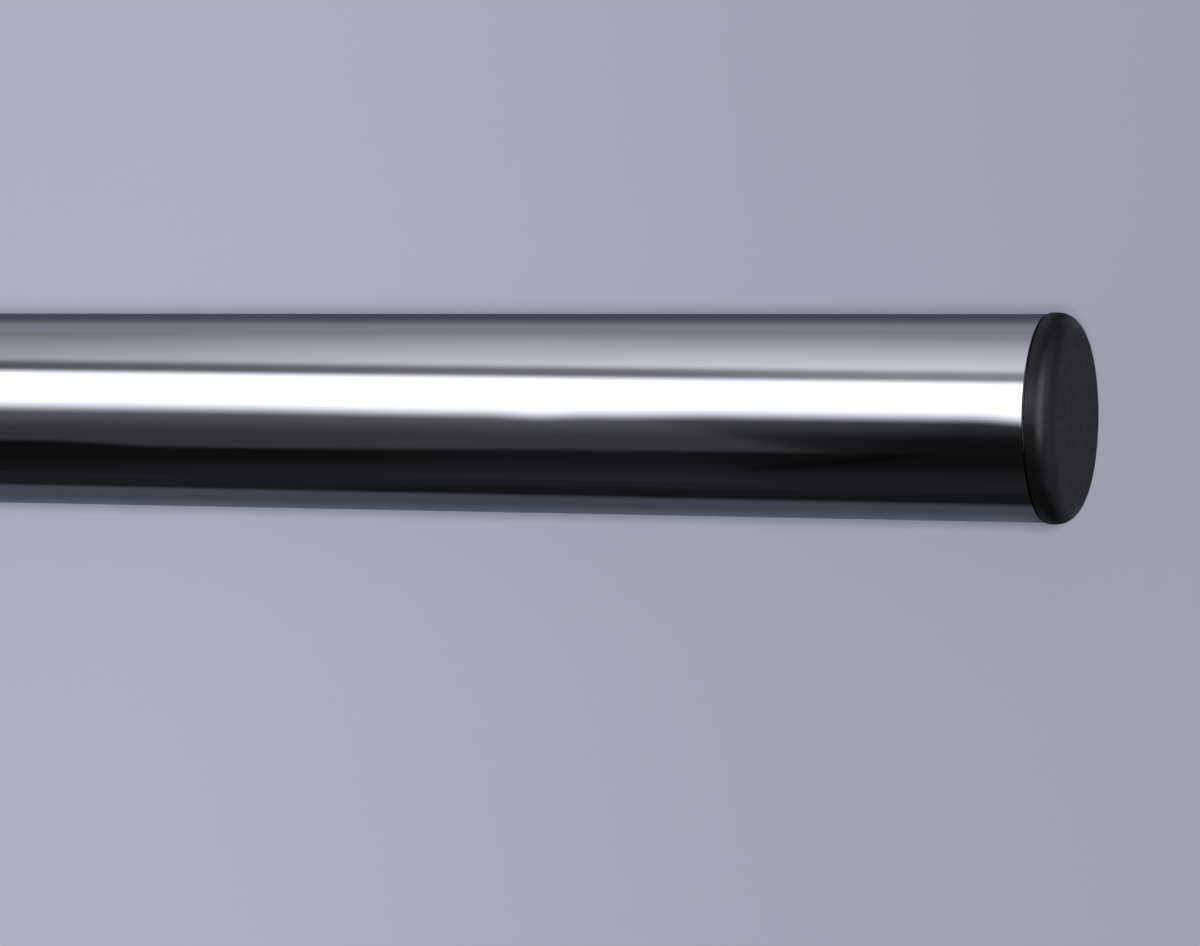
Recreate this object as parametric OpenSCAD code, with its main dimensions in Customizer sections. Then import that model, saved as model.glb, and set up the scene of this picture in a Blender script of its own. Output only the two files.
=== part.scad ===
// Round closet rod: a plated steel tube with a moulded plastic cap pushed into each end.
// It lies along X on the plane Z = 0, resting on the rims of its two caps.

/* [Tube] */
// Length of the tube between its cut ends
tube_length = 609.6; // [150:0.1:2440]
// Outside diameter of the tube
tube_diameter = 33.3; // [22:0.1:50]
// Thickness of the tube's wall
tube_wall = 1.2; // [0.8:0.1:2.5]
// Radius that deburring leaves round the outside of each cut end
cut_edge_radius = 0.4; // [0.1:0.05:0.6]

/* [Cap head] */
// Thickness of the head, from the tube's end to the flat face
head_thickness = 4.3; // [2.5:0.1:8]
// How far the head stands out past the tube, all round
head_overhang = 0.25; // [0:0.05:1]
// Radius of the rounded edge round the flat face
head_front_radius = 3.3; // [0.4:0.1:3.6]
// Radius of the edge next to the tube
head_back_radius = 0.2; // [0.1:0.05:0.5]
// Thickness of plastic between the flat face and the hollow of the plug
face_wall = 2; // [1:0.1:4]

/* [Cap plug] */
// How far the plug reaches into the tube
plug_depth = 16; // [10:0.5:30]
// Thickness of the hollow plug's wall
plug_wall = 1.6; // [1:0.1:3]
// Space between the plug and the bore, which the fins bridge
plug_gap = 1.5; // [0.6:0.1:3]
// Length of the taper that leads the plug into the bore
plug_lead_in = 1.2; // [0.4:0.1:2]
// Depth of that taper at the plug's nose
plug_lead_in_depth = 0.6; // [0.2:0.1:0.8]

/* [Cap fins] */
// Number of fins round the plug
fin_count = 4; // [2:1:6]
// Thickness of a fin where it leaves the plug
fin_root = 1.3; // [0.8:0.1:1.4]
// Thickness of a fin at its rim
fin_rim = 0.4; // [0.2:0.1:0.8]
// Clearance between a fin's rim and the bore
fin_clearance = 0.05; // [0.02:0.01:0.3]

/* [Hidden] */
$fn = 96;

chrome = "#c9ccd1";
black_plastic = "#26282b";

tube_radius = tube_diameter / 2;
bore_radius = tube_radius - tube_wall;
cut_radius = min(cut_edge_radius, tube_wall / 2);

head_radius = tube_radius + head_overhang;
back_radius = min(head_back_radius, head_thickness / 4);
front_radius = min(head_front_radius, 0.9 * (head_thickness - back_radius));

plug_radius = bore_radius - plug_gap;
hollow_radius = plug_radius - plug_wall;
hollow_top = head_thickness - face_wall;
lead_in_depth = min(plug_lead_in_depth, plug_wall / 2);
fin_radius = bore_radius - fin_clearance;
fin_pitch = plug_depth / (fin_count + 1);

// The heads are the widest part, so the axis lies one head radius above the floor.
axis_height = head_radius;

// What rounding takes off a square corner at the origin whose sides run along -X and -Y.
module corner_waste(radius) {
    difference() {
        translate([-radius, -radius]) square(radius);
        translate([-radius, -radius]) circle(radius);
    }
}

// Half section of the tube's wall: radius along X, length along Y.
module tube_section() {
    difference() {
        translate([bore_radius, -tube_length / 2]) square([tube_wall, tube_length]);
        for (end = [0, 1])
            mirror([0, end]) translate([tube_radius, tube_length / 2]) corner_waste(cut_radius);
    }
}

// Half section of the head and the plug as one solid moulding with square edges.
// The head sits on the tube's end at Y = 0, and the plug ends in a tapered nose.
module blank_section() {
    polygon([
        [0, head_thickness],
        [head_radius, head_thickness],
        [head_radius, 0],
        [plug_radius, 0],
        [plug_radius, plug_lead_in - plug_depth],
        [plug_radius - lead_in_depth, -plug_depth],
        [0, -plug_depth]
    ]);
}

// Half section of one fin: square towards the head, sloping towards the nose so that it slides in.
module fin_section() {
    polygon([
        [hollow_radius + plug_wall / 2, 0],
        [fin_radius, 0],
        [fin_radius, -fin_rim],
        [plug_radius, -fin_root],
        [hollow_radius + plug_wall / 2, -fin_root]
    ]);
}

// Half section of a whole cap: the moulding with its fins, less the rounding of the head and the hollow.
module cap_section() {
    difference() {
        union() {
            blank_section();
            for (i = [1:fin_count]) translate([0, -i * fin_pitch]) fin_section();
        }
        translate([head_radius, head_thickness]) corner_waste(front_radius);
        translate([head_radius, 0]) mirror([0, 1]) corner_waste(back_radius);
        translate([0, -plug_depth - 1]) square([hollow_radius, plug_depth + 1 + hollow_top]);
    }
}

module rod_tube() {
    color(chrome)
        translate([0, 0, axis_height]) rotate([0, 90, 0]) rotate_extrude() tube_section();
}

// side is 1 for the cap at +X and -1 for the cap at -X.
module end_cap(side) {
    color(black_plastic)
        translate([side * tube_length / 2, 0, axis_height])
            rotate([0, side * 90, 0]) rotate_extrude() cap_section();
}

rod_tube();
end_cap(1);  // end_cap_right
end_cap(-1);  // end_cap_left
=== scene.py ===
"""Looks of a round closet rod: a chrome-plated tube with a black moulded cap in each end.

The file has the layout of an add-on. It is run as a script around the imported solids.
"""

import math

import bpy
import numpy as np
from bpy.props import (
    FloatProperty,
    FloatVectorProperty,
    IntProperty,
    PointerProperty,
)
from mathutils import Matrix, Vector


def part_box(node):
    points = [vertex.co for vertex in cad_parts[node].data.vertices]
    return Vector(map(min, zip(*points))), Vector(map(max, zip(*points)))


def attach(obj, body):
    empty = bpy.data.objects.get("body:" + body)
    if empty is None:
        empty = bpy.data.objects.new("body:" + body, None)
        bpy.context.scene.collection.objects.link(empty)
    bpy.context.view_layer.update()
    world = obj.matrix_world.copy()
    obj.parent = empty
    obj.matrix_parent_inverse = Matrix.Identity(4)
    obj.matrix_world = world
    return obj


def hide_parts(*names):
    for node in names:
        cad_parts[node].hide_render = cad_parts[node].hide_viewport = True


bl_info = {
    "name": "Closet rod",
    "version": (1, 0, 0),
    "blender": (4, 5, 0),
    "location": "3D View > Sidebar > Closet rod",
    "description": "Builds a chrome closet rod with moulded end caps, and a studio to show it in",
    "category": "Object",
}

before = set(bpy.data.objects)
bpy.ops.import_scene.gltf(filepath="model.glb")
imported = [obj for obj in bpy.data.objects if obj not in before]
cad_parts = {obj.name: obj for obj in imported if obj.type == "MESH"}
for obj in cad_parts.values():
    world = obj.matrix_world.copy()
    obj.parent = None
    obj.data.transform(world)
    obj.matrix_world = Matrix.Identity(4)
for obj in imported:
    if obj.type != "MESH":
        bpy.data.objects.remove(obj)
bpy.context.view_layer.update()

TUBE_LOW, TUBE_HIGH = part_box("rod_tube")
CAP_LOW, CAP_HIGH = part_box("end_cap_right")
AXIS_HEIGHT = (TUBE_LOW.z + TUBE_HIGH.z) / 2
MM = 0.001

# Faces round the tube and round a cap
TUBE_STEPS = 256
CAP_STEPS = 192
NO_TRIANGLES = np.zeros((0, 3), int)

# Tints of the light that bright surfaces show, and of the light from all round
NEUTRAL_LIGHT = (0.965, 0.968, 1.07)
SLATE_LIGHT = (0.84, 0.92, 1.22)
PALE_FLOOR_LIGHT = (0.93, 0.96, 1.14)
ROOM_LIGHT = (0.95, 0.96, 1.0)


class TubeSettings(bpy.types.PropertyGroup):
    """Sizes and finish of the plated tube."""

    length: FloatProperty(
        name="Length",
        description="Length of the tube between its cut ends",
        default=TUBE_HIGH.x - TUBE_LOW.x,
        min=0.15,
        unit="LENGTH",
    )
    diameter: FloatProperty(
        name="Diameter",
        description="Outside diameter of the tube",
        default=TUBE_HIGH.z - TUBE_LOW.z,
        min=0.02,
        unit="LENGTH",
    )
    wall: FloatProperty(
        name="Wall",
        description="Thickness of the tube's wall",
        default=1.2 * MM,
        min=0.0005,
        unit="LENGTH",
    )
    cut_edge_radius: FloatProperty(
        name="Cut edge",
        description="Radius left round the outside of each cut end by deburring",
        default=0.4 * MM,
        min=0.00005,
        unit="LENGTH",
    )
    chrome_colour: FloatVectorProperty(
        name="Chrome",
        description="Share of light that the plating sends straight back",
        default=(0.55, 0.556, 0.566),
        min=0.0,
        max=1.0,
        size=3,
        subtype="COLOR",
    )
    chrome_edge_tint: FloatVectorProperty(
        name="Chrome at a grazing angle",
        description="How much of that is left where the plating is seen at a grazing angle",
        default=(0.62, 0.64, 0.68),
        min=0.0,
        max=1.0,
        size=3,
        subtype="COLOR",
    )
    polish_lines: FloatProperty(
        name="Polish lines",
        description="Height of the fine lines that polishing leaves along the tube",
        default=0.0006 * MM,
        min=0.0,
        precision=7,
        unit="LENGTH",
    )


class CapSettings(bpy.types.PropertyGroup):
    """Sizes and finish of a moulded end cap."""

    head_diameter: FloatProperty(
        name="Head diameter",
        description="Widest diameter of the head",
        default=CAP_HIGH.z - CAP_LOW.z,
        min=0.02,
        unit="LENGTH",
    )
    head_thickness: FloatProperty(
        name="Head thickness",
        description="From the tube's end to the flat face",
        default=CAP_HIGH.x - TUBE_HIGH.x,
        min=0.001,
        unit="LENGTH",
    )
    front_radius: FloatProperty(
        name="Front edge",
        description="Radius of the rounded edge round the flat face",
        default=3.3 * MM,
        min=0.0002,
        unit="LENGTH",
    )
    back_radius: FloatProperty(
        name="Back edge",
        description="Radius of the edge next to the tube",
        default=0.2 * MM,
        min=0.00005,
        unit="LENGTH",
    )
    face_wall: FloatProperty(
        name="Face wall",
        description="Thickness of plastic between the flat face and the hollow of the plug",
        default=2.0 * MM,
        min=0.0005,
        unit="LENGTH",
    )
    plug_depth: FloatProperty(
        name="Plug depth",
        description="How far the plug reaches into the tube",
        default=TUBE_HIGH.x - CAP_LOW.x,
        min=0.005,
        unit="LENGTH",
    )
    plug_gap: FloatProperty(
        name="Plug gap",
        description="Space between the plug and the bore, which the fins bridge",
        default=1.5 * MM,
        min=0.0002,
        unit="LENGTH",
    )
    plug_wall: FloatProperty(
        name="Plug wall",
        description="Thickness of the hollow plug's wall",
        default=1.6 * MM,
        min=0.0005,
        unit="LENGTH",
    )
    lead_in_length: FloatProperty(
        name="Lead-in length",
        description="Length of the taper at the plug's nose",
        default=1.2 * MM,
        min=0.0002,
        unit="LENGTH",
    )
    lead_in_depth: FloatProperty(
        name="Lead-in depth",
        description="Depth of that taper at the nose",
        default=0.6 * MM,
        min=0.0001,
        unit="LENGTH",
    )
    fin_count: IntProperty(
        name="Fins",
        description="Number of fins round the plug",
        default=4,
        min=2,
        max=6,
    )
    fin_root: FloatProperty(
        name="Fin root",
        description="Thickness of a fin where it leaves the plug",
        default=1.3 * MM,
        min=0.0005,
        unit="LENGTH",
    )
    fin_rim: FloatProperty(
        name="Fin rim",
        description="Thickness of a fin at its rim",
        default=0.4 * MM,
        min=0.0001,
        unit="LENGTH",
    )
    fin_clearance: FloatProperty(
        name="Fin clearance",
        description="Clearance between a fin's rim and the bore",
        default=0.05 * MM,
        min=0.0,
        precision=6,
        unit="LENGTH",
    )
    plastic_colour: FloatVectorProperty(
        name="Plastic",
        description="Colour of the moulded plastic",
        default=(0.0034, 0.0034, 0.0035),
        min=0.0,
        max=1.0,
        size=3,
        subtype="COLOR",
    )


class StudioSettings(bpy.types.PropertyGroup):
    """Floor, light and camera."""

    floor_colour: FloatVectorProperty(
        name="Floor",
        description="Colour of the seamless floor",
        default=(0.40, 0.412, 0.50),
        min=0.0,
        max=1.0,
        size=3,
        subtype="COLOR",
    )
    backdrop_level: FloatProperty(
        name="Backdrop",
        description="Tone of the backdrop as a share of the floor's colour",
        default=0.96,
        min=0.0,
        max=1.0,
    )
    sky_level: FloatProperty(
        name="Room light",
        description="Strength of the even light that comes from all round",
        default=0.12,
        min=0.0,
    )
    key_level: FloatProperty(
        name="Softbox light",
        description="Power of the lamp over the rod",
        default=1056.0,
        min=0.0,
        unit="POWER",
    )
    strip_glow: FloatProperty(
        name="Softbox in the chrome",
        description="Brightness of the softbox as the chrome shows it",
        default=2.1,
        min=0.0,
    )
    # The end lamps are glows in the tent, seen only in reflections: they paint the highlight on the
    # caps' rounded edges
    end_glow: FloatProperty(
        name="End lamps on the caps",
        description="Brightness of the lamps past the rod's ends, as the rounded edges show them",
        default=4.2,
        min=0.0,
    )
    elevation: FloatProperty(
        name="Camera height",
        description="Angle of the camera above the floor, seen along the rod",
        default=math.radians(80.0),
        min=0.0,
        max=math.radians(90.0),
        unit="ROTATION",
    )
    swing: FloatProperty(
        name="Camera swing",
        description="Angle between the line of sight and a plane square to the rod",
        default=math.radians(20.87),
        min=0.0,
        max=math.radians(80.0),
        unit="ROTATION",
    )
    lens: FloatProperty(
        name="Lens",
        description="Focal length on a sensor 36 mm wide",
        default=120.0,
        min=20.0,
        unit="CAMERA",
    )


def lathe(radius, along, steps):
    """Turned surface about the rod's axis.

    Point (i, j) is at along[i] on X and at radius[i] from the axis, in the direction of the angle
    t = 2 pi j / steps, so y = radius sin t and z = axis height + radius cos t.
    A profile that starts and ends on the axis is closed there by a single point and a fan.
    Any other profile is taken as a loop and closed on itself.
    """
    radius = np.asarray(radius, float)
    along = np.asarray(along, float)
    has_poles = radius[0] == 0 and radius[-1] == 0
    ring_r = radius[1:-1] if has_poles else radius
    ring_x = along[1:-1] if has_poles else along
    angle = 2 * np.pi * np.arange(steps) / steps
    points = np.stack(
        [
            np.repeat(ring_x, steps),
            np.outer(ring_r, np.sin(angle)).ravel(),
            AXIS_HEIGHT + np.outer(ring_r, np.cos(angle)).ravel(),
        ],
        axis=1,
    )
    rows = len(ring_r)
    last = rows - 1 if has_poles else rows
    i, j = np.meshgrid(np.arange(last), np.arange(steps), indexing="ij")
    i, j = i.ravel(), j.ravel()
    next_i, next_j = (i + 1) % rows, (j + 1) % steps
    quads = np.stack(
        [i * steps + j, i * steps + next_j, next_i * steps + next_j, next_i * steps + j],
        axis=1,
    )
    triangles = NO_TRIANGLES
    if has_poles:
        start, end = len(points), len(points) + 1
        poles = [[along[0], 0, AXIS_HEIGHT], [along[-1], 0, AXIS_HEIGHT]]
        points = np.vstack([points, poles])
        k = np.arange(steps)
        next_k = (k + 1) % steps
        base = (rows - 1) * steps
        triangles = np.vstack(
            [
                np.stack([np.full(steps, start), next_k, k], axis=1),
                np.stack([np.full(steps, end), base + k, base + next_k], axis=1),
            ]
        )
    return points, quads, triangles


def arc(centre_r, centre_x, radius, first, last, steps):
    """Circular arc of a profile: r = centre_r + radius cos angle, x = centre_x + radius sin angle.

    The angle runs evenly from first to last, in degrees.
    """
    angle = np.radians(np.linspace(first, last, steps + 1))
    return np.stack([centre_r + radius * np.cos(angle), centre_x + radius * np.sin(angle)], axis=1)


def signed_volume(points, quads, triangles):
    """Volume inside a closed mesh: the sum of the tetrahedra from the origin to each triangle.

    It is positive when the faces point outwards.
    """
    all_triangles = np.vstack([quads[:, [0, 1, 2]], quads[:, [0, 2, 3]], triangles])
    a, b, c = (points[all_triangles[:, k]] for k in range(3))
    return float(np.einsum("ij,ij->i", a, np.cross(b, c)).sum() / 6)


def add_mesh(name, points, quads, triangles=NO_TRIANGLES, sharp_degrees=None):
    """Puts a surface into a new mesh object with outward faces and smooth shading."""
    closed = len(triangles) > 0 or sharp_degrees is not None
    if closed and signed_volume(points, quads, triangles) < 0:
        quads = quads[:, ::-1]
        triangles = triangles[:, ::-1]
    mesh = bpy.data.meshes.new(name)
    mesh.from_pydata(points.tolist(), [], quads.tolist() + triangles.tolist())
    mesh.validate()
    mesh.shade_smooth()
    if sharp_degrees is not None:
        mesh.set_sharp_from_angle(angle=math.radians(sharp_degrees))
    mesh.update()
    piece = bpy.data.objects.new(name, mesh)
    bpy.context.scene.collection.objects.link(piece)
    return piece


def tube_profile(tube):
    """Closed half section of the tube's wall, as rows of radius and place along X.

    It runs along the outside from one rounded cut edge to the other, and back along the bore.
    Rows crowd towards the edges, so that the shading of the edge doesn't spread along the wall.
    """
    half = tube.length / 2
    outer = tube.diameter / 2
    bore = outer - tube.wall
    edge = tube.cut_edge_radius
    crowd = np.array([0.0, 0.08, 0.4, 2.0, 8.0]) * MM
    reach = half - edge
    even_rows = reach - 20 * MM
    middle = np.linspace(-even_rows, even_rows, 29)
    wall = np.concatenate([-reach + crowd, middle, (reach - crowd)[::-1]])
    right_edge = arc(outer - edge, reach, edge, 0, 90, 10)[1:]
    left_edge = arc(outer - edge, -reach, edge, -90, 0, 10)[:-1]
    bore_rows = np.linspace(half, -half, 33)
    return np.vstack(
        [
            np.stack([np.full(len(wall), outer), wall], axis=1),
            right_edge,
            np.stack([np.full(len(bore_rows), bore), bore_rows], axis=1),
            left_edge,
        ]
    )


def cap_profile(cap, tube):
    """Half section of a cap, as rows of radius and place along X from the tube's end.

    It starts at the middle of the flat face, goes over the rounded head, along the finned plug to
    its nose, and back up the hollow to the axis. Fin k of n starts k / (n + 1) of the way down.
    """
    head = cap.head_diameter / 2
    bore = tube.diameter / 2 - tube.wall
    plug = bore - cap.plug_gap
    hollow = plug - cap.plug_wall
    fin_radius = bore - cap.fin_clearance
    top = cap.head_thickness
    front, back = cap.front_radius, cap.back_radius
    face_r = np.array([0.0, 0.25, 0.5, 0.75, 0.97]) * (head - front)
    face = np.stack([face_r, np.full(len(face_r), top)], axis=1)
    inset = 0.05 * MM
    land = np.array([[head, top - front - inset], [head, back + inset]])
    pitch = cap.plug_depth / (cap.fin_count + 1)
    place = -pitch * np.arange(1, cap.fin_count + 1)
    fin_r = np.array([plug, fin_radius, fin_radius, plug])
    fin_x = np.array([0.0, 0.0, -cap.fin_rim, -cap.fin_root])
    fins = np.stack(
        [np.tile(fin_r, cap.fin_count), (place[:, None] + fin_x).ravel()],
        axis=1,
    )
    nose = -cap.plug_depth
    hollow_top = top - cap.face_wall
    return np.vstack(
        [
            face,
            arc(head - front, top - front, front, 90, 0, 16),
            land,
            arc(head - back, back, back, 0, -90, 6),
            [[plug + 0.3 * cap.plug_gap, 0.0], [plug, 0.0]],
            fins,
            [[plug, nose + cap.lead_in_length], [plug - cap.lead_in_depth, nose]],
            [[hollow, nose], [hollow, nose / 2], [hollow, hollow_top]],
            [[hollow / 2, hollow_top], [0.0, hollow_top]],
        ]
    )


class NodeSheet:
    """A short way to lay out the nodes of a material."""

    def __init__(self, name):
        self.material = bpy.data.materials.new(name)
        self.material.use_nodes = True
        self.tree = self.material.node_tree
        self.tree.nodes.clear()
        self.count = 0

    def add(self, kind, settings=None, **inputs):
        """Adds a node. An input is a socket, which is linked, or a value, which is set."""
        node = self.tree.nodes.new(kind)
        node.location = (220 * (self.count % 8), -260 * (self.count // 8))
        self.count += 1
        for key, value in (settings or {}).items():
            setattr(node, key, value)
        for key, value in inputs.items():
            self.put(node, key, value)
        return node

    def put(self, node, key, value):
        """Links a socket to the named input, or sets its value. In a key, _ stands for a space."""
        wanted = key.replace("_", " ")
        if wanted.startswith("in "):
            socket = node.inputs[int(wanted[3:])]
        else:
            socket = node.inputs[wanted]
        if isinstance(value, bpy.types.NodeSocket):
            self.tree.links.new(value, socket)
        else:
            socket.default_value = value

    def math(self, operation, a, b=0.0, c=0.0, clamp=False):
        """One sum on numbers or sockets."""
        settings = {"operation": operation, "use_clamp": clamp}
        node = self.add("ShaderNodeMath", settings, in_0=a, in_1=b, in_2=c)
        return node.outputs["Value"]

    def rise(self, value, low, high, to_low=0.0, to_high=1.0, soft=True):
        """A value that goes from to_low to to_high while the given one goes from low to high."""
        settings = {"interpolation_type": "SMOOTHSTEP" if soft else "LINEAR", "clamp": True}
        node = self.add("ShaderNodeMapRange", settings)
        for place, amount in enumerate((value, low, high, to_low, to_high)):
            self.put(node, f"in_{place}", amount)
        return node.outputs["Result"]

    def product(self, first, *others):
        """All the given values multiplied together."""
        for other in others:
            first = self.math("MULTIPLY", first, other)
        return first

    def total(self, first, *others):
        """All the given values added together."""
        for other in others:
            first = self.math("ADD", first, other)
        return first

    def mix(self, share, colour, first, last):
        """The colour at a strength that goes from first, at share 0, to last, at share 1."""
        node = self.add(
            "ShaderNodeMix",
            {"data_type": "RGBA"},
            in_0=share,
            in_6=(*(first * value for value in colour), 1.0),
            in_7=(*(last * value for value in colour), 1.0),
        )
        return node.outputs[2]

    def noise(self, vector, scale, detail, roughness=0.5):
        """Even noise from 0 to 1."""
        node = self.add(
            "ShaderNodeTexNoise",
            Vector=vector,
            Scale=scale,
            Detail=detail,
            Roughness=roughness,
        )
        return node.outputs["Fac"]

    def glow(self, colour, strength):
        """Light given off by the surface itself."""
        node = self.add("ShaderNodeEmission", Color=(*colour, 1.0), Strength=strength)
        return node.outputs["Emission"]

    def place(self):
        """Object coordinates, in metres."""
        return self.add("ShaderNodeTexCoord").outputs["Object"]

    def stretch(self, vector, scale):
        """Coordinates scaled along each axis."""
        node = self.add("ShaderNodeMapping", Vector=vector, Scale=scale)
        return node.outputs["Vector"]

    def finish(self, shader):
        """Joins the shader to the output."""
        self.add("ShaderNodeOutputMaterial", Surface=shader)
        return self.material


def chrome_material(tube):
    """Bright plating: a mirror with faint lengthwise polish lines and soft smears in its gloss.

    The edges that sawing and deburring left at the two ends are dull. Their colour is darkened to
    nearly black, a painted shade of the gap between the tube and the caps.
    """
    sheet = NodeSheet("chrome_plate")
    place = sheet.place()
    along = sheet.add("ShaderNodeSeparateXYZ", Vector=place).outputs["X"]
    past = sheet.math("ABSOLUTE", along)
    wall_end = tube.length / 2 - tube.cut_edge_radius
    # Cut edges: rougher bare metal, and a colour darkened as painted shade of the gap where the
    # tube meets a cap
    dull_edge_and_painted_gap_shade = sheet.rise(past, wall_end - 0.25 * tube.cut_edge_radius, wall_end)
    lines = sheet.noise(sheet.stretch(place, (18.0, 2600.0, 2600.0)), 1.0, 2.0)
    ripple = sheet.noise(sheet.stretch(place, (14.0, 120.0, 120.0)), 1.0, 1.0)
    height = sheet.math("MULTIPLY_ADD", ripple, 6.0, lines)
    smears = sheet.noise(sheet.stretch(place, (22.0, 60.0, 60.0)), 1.0, 4.0, 0.6)
    polished = sheet.rise(smears, 0.35, 0.7, 0.035, 0.075)
    bump = sheet.add("ShaderNodeBump", Height=height, Strength=1.0, Distance=tube.polish_lines)
    shader = sheet.add(
        "ShaderNodeBsdfPrincipled",
        Metallic=1.0,
        # Base colour falls to 5% on the cut edges: painted shade of the gap next to the caps
        Base_Color=sheet.mix(dull_edge_and_painted_gap_shade, tube.chrome_colour, 1.0, 0.05),
        Specular_Tint=(*tube.chrome_edge_tint, 1.0),
        Roughness=sheet.math("MULTIPLY_ADD", dull_edge_and_painted_gap_shade, 0.2, polished),
        Normal=bump.outputs["Normal"],
    )
    return sheet.finish(shader.outputs["BSDF"])


def plastic_material(cap):
    """Black moulded plastic.

    It has a fine sparked grain, faint mottling and a rim that handling has smoothed.
    """
    sheet = NodeSheet("cap_plastic")
    place = sheet.place()
    parts = sheet.add("ShaderNodeSeparateXYZ", Vector=place)
    y = parts.outputs["Y"]
    z = sheet.math("SUBTRACT", parts.outputs["Z"], AXIS_HEIGHT)
    squares = sheet.math("MULTIPLY_ADD", y, y, sheet.math("MULTIPLY", z, z))
    out = sheet.math("SQRT", squares)
    head = cap.head_diameter / 2
    rim = sheet.rise(out, head - cap.front_radius, head - 0.5 * cap.front_radius)
    grain = sheet.noise(place, 7000.0, 3.0, 0.6)
    mottle = sheet.noise(place, 450.0, 4.0, 0.55)
    colour = sheet.mix(sheet.rise(mottle, 0.3, 0.7), cap.plastic_colour, 0.85, 1.2)
    face_rough = sheet.rise(mottle, 0.3, 0.7, 0.58, 0.50)
    rough = sheet.math("MULTIPLY_ADD", rim, -0.2, face_rough)
    grain_depth = 0.012 * MM
    bump = sheet.add("ShaderNodeBump", Height=grain, Strength=0.5, Distance=grain_depth)
    shader = sheet.add(
        "ShaderNodeBsdfPrincipled",
        Base_Color=colour,
        Roughness=rough,
        Specular_IOR_Level=0.3,
        Normal=bump.outputs["Normal"],
    )
    return sheet.finish(shader.outputs["BSDF"])


def floor_material(studio):
    """Plain matte paper floor, barely uneven in tone. Its colour is painted darker towards and past
    the rod's right end, a painted shade in place of light falling off.

    Away from the rod it turns into an even backdrop of the same tone, which lights nothing.
    """
    sheet = NodeSheet("studio_floor")
    place = sheet.place()
    parts = sheet.add("ShaderNodeSeparateXYZ", Vector=place)
    # Painted shade: the floor's colour is full up to X = 0.12 m and darker from X = 0.36 m on, in
    # place of light falloff
    painted_light_falloff = sheet.rise(parts.outputs["X"], 0.12, 0.36, 1.0, 0.0)
    tone = sheet.rise(sheet.noise(place, 2.2, 2.0), 0.3, 0.7)
    share = sheet.math("MULTIPLY_ADD", tone, 0.15, sheet.math("MULTIPLY", painted_light_falloff, 0.85))
    colour = sheet.mix(share, studio.floor_colour, 0.84, 1.07)
    paper = sheet.add("ShaderNodeBsdfDiffuse", Color=colour)
    backdrop = sheet.glow(studio.floor_colour, studio.backdrop_level)
    rays = sheet.add("ShaderNodeLightPath").outputs
    seen = sheet.total(rays["Is Camera Ray"], rays["Is Glossy Ray"], rays["Is Transmission Ray"])
    distance = sheet.add("ShaderNodeVectorMath", {"operation": "LENGTH"}, in_0=place)
    far = sheet.rise(distance.outputs["Value"], 0.36, 0.75)
    shader = sheet.add(
        "ShaderNodeMixShader",
        in_0=sheet.math("MULTIPLY", far, seen, clamp=True),
        in_1=paper.outputs["BSDF"],
        in_2=backdrop,
    )
    return sheet.finish(shader.outputs["Shader"])


def softbox_glow(sheet, x, turn, strength):
    """The softbox over the rod: a bright strip with soft edges, and a faint spill on its near side.

    Its near edge hangs lower in the middle and towards its right end.
    """
    wide_sag = sheet.product(sheet.rise(x, -0.05, 0.02), sheet.rise(x, 0.07, 0.105, 1.6, 0.0))
    narrow_sag = sheet.product(sheet.rise(x, 0.036, 0.050), sheet.rise(x, 0.050, 0.066, 2.2, 0.0))
    end_sag = sheet.rise(x, 0.176, 0.196, 0.0, 4.5)
    near_edge = sheet.rise(sheet.total(turn, wide_sag, narrow_sag, end_sag), -7.6, 11.4)
    far_edge = sheet.rise(turn, 35.2, 46.0, 1.0, 0.0)
    past_tube = sheet.rise(x, 0.20, 0.26, 1.0, 0.6)
    right_end = sheet.rise(x, 0.42, 0.52, 1.0, 0.0)
    strip = sheet.product(near_edge, far_edge, past_tube, right_end, strength)
    spill_start = sheet.rise(turn, -28.0, 0.0)
    spill_end = sheet.rise(turn, 0.0, 20.0, 1.0, 0.0)
    spill_level = sheet.rise(x, 0.06, 0.11, 0.11, 0.075)
    spill_fade = sheet.rise(x, 0.158, 0.174, 1.0, 0.7)
    spill = sheet.product(spill_start, spill_end, spill_level, spill_fade)
    return sheet.total(strip, spill)


def end_lamp_glow(sheet, past, turn, strength):
    """A glow past each end of the rod that stands in for a lamp and shows only in reflections. The
    rounded edge of the cap shows it as a painted highlight.
    """
    inner_end = sheet.rise(past, 0.42, 0.52)
    outer_end = sheet.rise(past, 0.70, 0.95, 1.0, 0.08)
    near_edge = sheet.rise(turn, -50.0, 5.0)
    far_edge = sheet.rise(turn, 30.0, 100.0, 1.0, 0.0)
    return sheet.product(inner_end, outer_end, near_edge, far_edge, strength)


def horizon_glow(sheet, past, turn):
    """A glow that paints the pale floor past the rod's ends, where it meets the tent in front and
    behind.
    """
    inner_end = sheet.rise(past, 0.46, 0.58, 0.0, 0.36)
    front = sheet.rise(turn, -72.0, -56.0, 1.0, 0.0)
    behind = sheet.rise(turn, 70.0, 95.0)
    return sheet.product(inner_end, sheet.total(front, behind))


def card_glow(sheet, x, turn):
    """The grey card behind the rod, painted as a glow, and darker towards the floor as painted
    shade of a card lit from above.

    Its upper edge is a darker frame, between the card and the softbox.
    """
    frame_level = sheet.rise(x, 0.08, 0.16, 0.26, 0.38)
    frame_edge = sheet.rise(turn, 49.0, 60.0, frame_level, 1.0)
    lightest = sheet.rise(x, 0.05, 0.12, 0.98, 1.07)
    tone = sheet.rise(turn, 56.0, 103.0, lightest, 0.40, soft=False)
    top_edge = sheet.rise(turn, 20.0, 40.0)
    left_side = sheet.rise(x, -0.14, 0.06, 0.64, 1.0)
    right_side = sheet.rise(x, 0.20, 0.30, 1.0, 0.45)
    return sheet.product(tone, frame_edge, top_edge, left_side, right_side)


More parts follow.
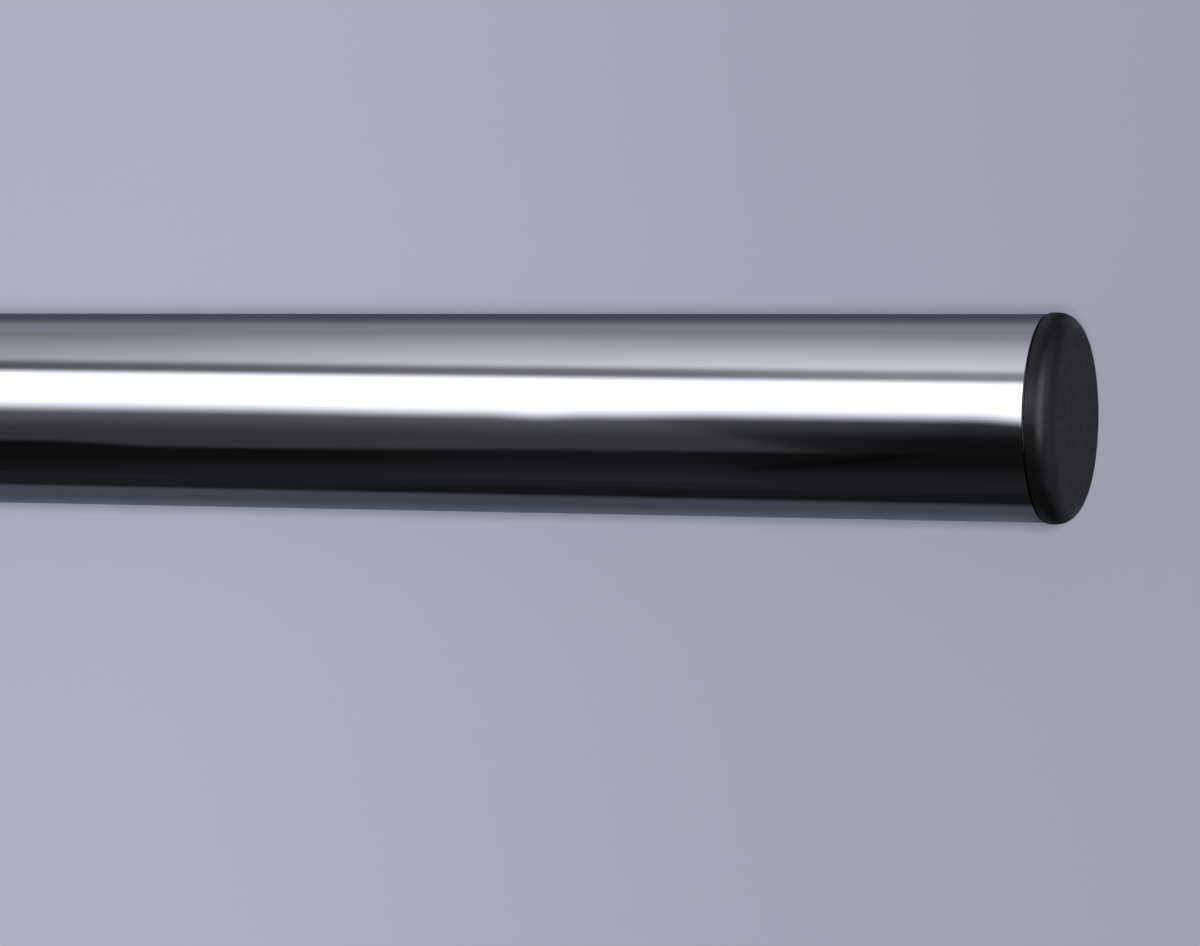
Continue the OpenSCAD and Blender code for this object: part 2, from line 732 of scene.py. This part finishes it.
def room_glow(sheet, x, turn):
    """A glow that paints the dim room on the camera's side: a grey wall over a dark stretch.

    The wall's right edge slants and its lower edge sags a little. The dark stretch is a little
    lighter in the middle and towards the floor, and a thin darker line crosses it aslant.
    """
    sag = sheet.total(sheet.rise(x, -0.11, -0.06, 0.0, 6.0), sheet.rise(x, -0.04, 0.08, 0.0, -3.0))
    wall_low = sheet.rise(sheet.math("ADD", turn, sag), -42.0, -35.0, 0.0, 0.052)
    wall_high = sheet.rise(turn, 0.0, 20.0, 1.0, 0.0)
    slant = sheet.math("MULTIPLY_ADD", turn, 0.0014, x)
    wall_right = sheet.rise(slant, 0.064, 0.086, 1.0, 0.35)
    wall_fade = sheet.rise(x, 0.11, 0.165, 1.0, 0.1)
    wall = sheet.product(wall_low, wall_high, wall_right, wall_fade)

    towards_floor = sheet.rise(turn, -84.0, -52.0, 0.016, 0.0)
    left_side = sheet.rise(x, -0.11, -0.03, 0.45, 1.0)
    middle_left = sheet.rise(x, -0.02, 0.04, 0.0, 0.006)
    middle_right = sheet.rise(x, 0.09, 0.125, 1.0, 0.0)
    middle = sheet.product(middle_left, middle_right)
    dark = sheet.total(sheet.product(towards_floor, left_side), middle, 0.008)
    across = sheet.math("MULTIPLY_ADD", x, -440.0, turn)
    line_low = sheet.rise(across, -121.0, -114.0)
    line_high = sheet.rise(across, -114.0, -107.0, 1.0, 0.0)
    line_left = sheet.rise(x, 0.104, 0.120)
    line_right = sheet.rise(x, 0.150, 0.165, 1.0, 0.0)
    line = sheet.product(line_low, line_high, line_left, line_right)
    under_line = sheet.math("MULTIPLY_ADD", line, -0.6, 1.0)
    return sheet.total(wall, sheet.product(dark, under_line))


def end_wall_glow(sheet, past):
    """A glow that paints the pale wall that closes each end of the tent."""
    return sheet.rise(past, 0.90, 1.00, 0.0, 0.45)


def tent_material(studio):
    """What bright surfaces show above the floor: a glowing tunnel seen only in reflections, a
    painted reflection of a studio.

    There is a softbox over the rod, a card behind it, a dim room in front of it, and a lamp and a
    pale wall past each of its ends. The angle round the rod is counted in degrees from the
    camera's direction, and grows towards the floor behind the rod. The pattern leans along the
    rod, as the edges of a softbox do that isn't quite parallel to it.
    """
    sheet = NodeSheet("light_tent")
    parts = sheet.add("ShaderNodeSeparateXYZ", Vector=sheet.place())
    x = parts.outputs["X"]
    z = sheet.math("SUBTRACT", parts.outputs["Z"], AXIS_HEIGHT)
    turn = sheet.math("DEGREES", sheet.math("ARCTAN2", parts.outputs["Y"], z))
    turn = sheet.math("ADD", turn, 90.0 - math.degrees(studio.elevation))
    lean = sheet.math("MULTIPLY_ADD", turn, 0.3, 11.0)
    turn = sheet.math("MULTIPLY_ADD", lean, x, turn)
    past = sheet.math("ABSOLUTE", x)
    glow = sheet.total(
        softbox_glow(sheet, x, turn, studio.strip_glow),
        end_lamp_glow(sheet, past, turn, studio.end_glow),
        horizon_glow(sheet, past, turn),
        card_glow(sheet, x, turn),
        room_glow(sheet, x, turn),
        end_wall_glow(sheet, past),
    )
    return sheet.finish(sheet.glow(NEUTRAL_LIGHT, glow))


def painted_floor_reflection_material():
    """A glowing card that stands in for the floor where the chrome and the caps reflect it: a
    painted reflection.

    It glows black in front of the rod, slate close to it, grey behind it and pale past its ends.
    The dim slate close to the rod is a painted shadow of the rod on the floor, and the pale glow
    past the ends paints the sheen and highlight on the caps.
    In front of each cap the pale floor starts along a slanting line.
    """
    sheet = NodeSheet("painted_floor_reflection")
    parts = sheet.add("ShaderNodeSeparateXYZ", Vector=sheet.place())
    x, y = parts.outputs["X"], parts.outputs["Y"]
    past = sheet.math("ABSOLUTE", x)

    leaning_y = sheet.math("MULTIPLY_ADD", x, -0.06, y)
    # Painted shadow: the dim slate glow close to the rod stands in for the floor in the rod's
    # shadow
    slate = sheet.rise(leaning_y, -0.075, -0.058, 0.0, 0.098)
    under_front = sheet.rise(y, -0.035, -0.020, 0.0, 0.09)
    under_back = sheet.rise(y, 0.008, 0.028, 1.0, 0.4)
    under = sheet.product(under_front, under_back)
    slate_end = sheet.rise(past, 0.295, 0.306, 1.0, 0.1)
    painted_shaded_floor_glow = sheet.product(sheet.total(slate, under), slate_end)

    black_edge = sheet.rise(x, 0.145, 0.175, 0.021, 0.014)
    black = sheet.rise(y, -0.15, -0.085, 0.023, black_edge)
    behind_end = sheet.rise(past, 0.295, 0.306, 1.0, 0.6)
    behind = sheet.product(sheet.rise(y, 0.033, 0.090, 0.0, 0.22), behind_end)
    far_start = sheet.rise(past, 0.36, 0.44)
    far_behind = sheet.product(sheet.rise(y, 0.06, 0.12, 0.0, 0.36), far_start)
    neutral = sheet.total(black, behind, far_behind)

    # Painted reflection: the pale floor past the caps, which gives their faces and rims a sheen and
    # a highlight
    apron_start = sheet.rise(past, 0.304, 0.311, 0.0, 0.20)
    apron_far = sheet.rise(past, 0.33, 0.40, 1.0, 2.6)
    slanting = sheet.math("MULTIPLY_ADD", y, 0.6, past)
    beside_cap = sheet.rise(y, -0.023, -0.012)
    before_cap = sheet.rise(slanting, 0.292, 0.308)
    apron_front = sheet.math("MAXIMUM", beside_cap, before_cap)
    apron_back = sheet.rise(y, 0.022, 0.060, 1.0, 0.0)
    painted_pale_floor = sheet.product(apron_start, apron_far, apron_front, apron_back)

    glow = sheet.glow(SLATE_LIGHT, painted_shaded_floor_glow)
    for tint, level in ((NEUTRAL_LIGHT, neutral), (PALE_FLOOR_LIGHT, painted_pale_floor)):
        added = sheet.glow(tint, level)
        glow = sheet.add("ShaderNodeAddShader", in_0=glow, in_1=added).outputs["Shader"]
    return sheet.finish(glow)


def seen_in_gloss_only(card):
    """A card that bright surfaces show, but that throws no shadow and stays out of the picture."""
    card.visible_camera = False
    card.visible_diffuse = False
    card.visible_transmission = False
    card.visible_volume_scatter = False
    card.visible_shadow = False


def grid_faces(rows, columns):
    """Quads of a grid of points that is stored row by row."""
    i, j = np.meshgrid(np.arange(rows - 1), np.arange(columns - 1), indexing="ij")
    corner = (i * columns + j).ravel()
    return np.stack([corner, corner + 1, corner + columns + 1, corner + columns], axis=1)


def add_floor(studio):
    """Seamless floor: flat out to 5 m, then curving up on a quarter circle into a low wall.

    Each point of the profile is carried round the vertical axis through the origin.
    """
    flat_radius, curve_radius, wall_top, steps = 5.0, 2.0, 3.5, 96
    flat = np.array([[0.0, 0.0], [1.0, 0.0], [2.5, 0.0], [flat_radius, 0.0]])
    slope = np.radians(np.linspace(0, 90, 19)[1:])
    curve_r = flat_radius + curve_radius * np.sin(slope)
    curve_z = curve_radius - curve_radius * np.cos(slope)
    curve = np.stack([curve_r, curve_z], axis=1)
    profile = np.vstack([flat, curve, [[flat_radius + curve_radius, wall_top]]])
    angle = np.linspace(0, 2 * np.pi, steps + 1)
    points = np.stack(
        [
            np.outer(profile[:, 0], np.cos(angle)).ravel(),
            np.outer(profile[:, 0], np.sin(angle)).ravel(),
            np.repeat(profile[:, 1], steps + 1),
        ],
        axis=1,
    )
    floor = add_mesh("studio_floor", points, grid_faces(len(profile), steps + 1))
    floor.data.materials.append(floor_material(studio))


def add_tent(studio):
    """Half a tunnel of light round the rod with closed ends, and a glowing card on the floor inside
    it. Both show only in reflections, as painted reflections.

    A point of the tunnel is at an angle from straight up, at its radius from the rod's axis:
    y = radius sin angle, z = axis height + radius cos angle. The radius is the reach, and falls to
    nothing at both ends. The tunnel goes a little below the axis, so that it meets the card.
    """
    reach, half_length, card_height = 0.45, 1.0, 0.3 * MM
    angle = np.radians(np.linspace(-93, 93, 94))
    along = np.linspace(-half_length, half_length, 9)
    along = np.concatenate([along[:1], along, along[-1:]])
    radius = np.full(len(along), reach)
    radius[[0, -1]] = 0.0
    tunnel = np.stack(
        [
            np.tile(along, len(angle)),
            np.outer(np.sin(angle), radius).ravel(),
            AXIS_HEIGHT + np.outer(np.cos(angle), radius).ravel(),
        ],
        axis=1,
    )
    y, x = np.meshgrid([-reach, 0.0, reach], [-half_length, 0.0, half_length], indexing="ij")
    card = np.stack([x.ravel(), y.ravel(), np.full(x.size, card_height)], axis=1)
    for name, points, columns, material in (
        ("light_tent", tunnel, len(along), tent_material(studio)),
        ("painted_floor_reflection", card, 3, painted_floor_reflection_material()),
    ):
        rows = len(points) // columns
        piece = add_mesh(name, points, grid_faces(rows, columns))
        piece.data.materials.append(material)
        seen_in_gloss_only(piece)


def add_softbox(name, watts, size, place, aim):
    """Rectangular lamp at a place, turned towards a point. Reflections show the tent instead."""
    lamp = bpy.data.lights.new(name, "AREA")
    lamp.shape = "RECTANGLE"
    lamp.size, lamp.size_y = size
    lamp.energy = watts
    holder = bpy.data.objects.new(name, lamp)
    towards = Vector(aim) - Vector(place)
    turn = towards.to_track_quat("-Z", "Y").to_matrix().to_4x4()
    holder.matrix_world = Matrix.Translation(place) @ turn
    holder.visible_camera = False
    holder.visible_glossy = False
    bpy.context.scene.collection.objects.link(holder)


def add_room_light(studio):
    """Even light from all round."""
    world = bpy.data.worlds.new("room_light")
    world.use_nodes = True
    background = world.node_tree.nodes["Background"]
    background.inputs["Color"].default_value = (*ROOM_LIGHT, 1.0)
    background.inputs["Strength"].default_value = studio.sky_level
    bpy.context.scene.world = world


def add_camera(studio, tube):
    """Camera on the photo's line of sight.

    across is the direction from the rod to the camera, square to the rod; rise is the picture's up
    direction, square to both. back points from the scene to the camera. The right end of the
    tube's axis is then put at its place in the picture, at the depth that its size there gives.
    """
    picture_width, picture_height = 1200, 946
    end_x, end_y, end_diameter = 1051.0, 418.5, 209.0
    roll = math.radians(0.835)
    sensor_width = 36.0
    focal = studio.lens / sensor_width * picture_width
    sine, cosine = math.sin(studio.elevation), math.cos(studio.elevation)
    rod = Vector((1, 0, 0))
    across = Vector((0, -cosine, sine))
    rise = Vector((0, sine, cosine))
    back = (math.sin(studio.swing) * rod + math.cos(studio.swing) * across).normalized()
    lift = roll * math.tan(studio.swing)
    up = (-roll * rod + lift * across + rise).normalized()
    right = up.cross(back).normalized()
    up = back.cross(right)
    depth = focal * tube.diameter / end_diameter
    end = Vector((tube.length / 2, 0, AXIS_HEIGHT))
    to_right = (end_x - picture_width / 2) / focal * depth
    to_top = (picture_height / 2 - end_y) / focal * depth
    eye = end - to_right * right - to_top * up + depth * back
    data = bpy.data.cameras.new("camera")
    data.lens = studio.lens
    data.sensor_width = sensor_width
    data.sensor_fit = "HORIZONTAL"
    data.clip_start = 0.01
    camera = bpy.data.objects.new("camera", data)
    turn = Matrix((right, up, back)).transposed().to_4x4()
    camera.matrix_world = Matrix.Translation(eye) @ turn
    bpy.context.scene.collection.objects.link(camera)
    bpy.context.scene.camera = camera


class CLOSETROD_OT_tube(bpy.types.Operator):
    """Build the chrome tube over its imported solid"""

    bl_idname = "closet_rod.tube"
    bl_label = "Build tube"

    def execute(self, context):
        tube = context.scene.closet_rod_tube
        profile = tube_profile(tube)
        piece = add_mesh("tube", *lathe(profile[:, 0], profile[:, 1], TUBE_STEPS), sharp_degrees=40)
        piece.data.materials.append(chrome_material(tube))
        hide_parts("rod_tube")
        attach(piece, "root")
        return {"FINISHED"}


class CLOSETROD_OT_caps(bpy.types.Operator):
    """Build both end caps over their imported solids"""

    bl_idname = "closet_rod.caps"
    bl_label = "Build end caps"

    def execute(self, context):
        tube = context.scene.closet_rod_tube
        cap = context.scene.closet_rod_cap
        profile = cap_profile(cap, tube)
        plastic = plastic_material(cap)
        for node, side in (("end_cap_right", 1), ("end_cap_left", -1)):
            along = side * (tube.length / 2 + profile[:, 1])
            name = node.replace("end_cap", "cap")
            piece = add_mesh(name, *lathe(profile[:, 0], along, CAP_STEPS), sharp_degrees=30)
            piece.data.materials.append(plastic)
            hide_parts(node)
            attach(piece, "root")
        return {"FINISHED"}


class CLOSETROD_OT_studio(bpy.types.Operator):
    """Set up the floor, the light and the camera"""

    bl_idname = "closet_rod.studio"
    bl_label = "Set up studio"

    def execute(self, context):
        scene = context.scene
        studio = scene.closet_rod_studio
        add_floor(studio)
        add_tent(studio)
        add_softbox(
            "softbox",
            watts=studio.key_level,
            size=(3.2, 1.44),
            place=(3.6, -1.84, 10.0),
            aim=(0.2, 0.0, 0.0),
        )
        add_room_light(studio)
        scene.view_settings.view_transform = "Standard"
        add_camera(studio, scene.closet_rod_tube)
        return {"FINISHED"}


class CLOSETROD_PT_panel(bpy.types.Panel):
    """Sizes, colours and the steps that build the rod"""

    bl_idname = "CLOSETROD_PT_panel"
    bl_label = "Closet rod"
    bl_space_type = "VIEW_3D"
    bl_region_type = "UI"
    bl_category = "Closet rod"

    def draw(self, context):
        steps = (
            ("closet_rod_tube", TubeSettings, "closet_rod.tube"),
            ("closet_rod_cap", CapSettings, "closet_rod.caps"),
            ("closet_rod_studio", StudioSettings, "closet_rod.studio"),
        )
        for name, group, operator in steps:
            box = self.layout.box()
            for setting in group.__annotations__:
                box.prop(getattr(context.scene, name), setting)
            box.operator(operator)


CLASSES = (
    TubeSettings,
    CapSettings,
    StudioSettings,
    CLOSETROD_OT_tube,
    CLOSETROD_OT_caps,
    CLOSETROD_OT_studio,
    CLOSETROD_PT_panel,
)


def register():
    for item in CLASSES:
        bpy.utils.register_class(item)
    bpy.types.Scene.closet_rod_tube = PointerProperty(type=TubeSettings)
    bpy.types.Scene.closet_rod_cap = PointerProperty(type=CapSettings)
    bpy.types.Scene.closet_rod_studio = PointerProperty(type=StudioSettings)


def unregister():
    del bpy.types.Scene.closet_rod_studio
    del bpy.types.Scene.closet_rod_cap
    del bpy.types.Scene.closet_rod_tube
    for item in reversed(CLASSES):
        bpy.utils.unregister_class(item)


def main():
    register()
    bpy.ops.closet_rod.tube()
    bpy.ops.closet_rod.caps()
    bpy.ops.closet_rod.studio()


if __name__ == "__main__":
    main()
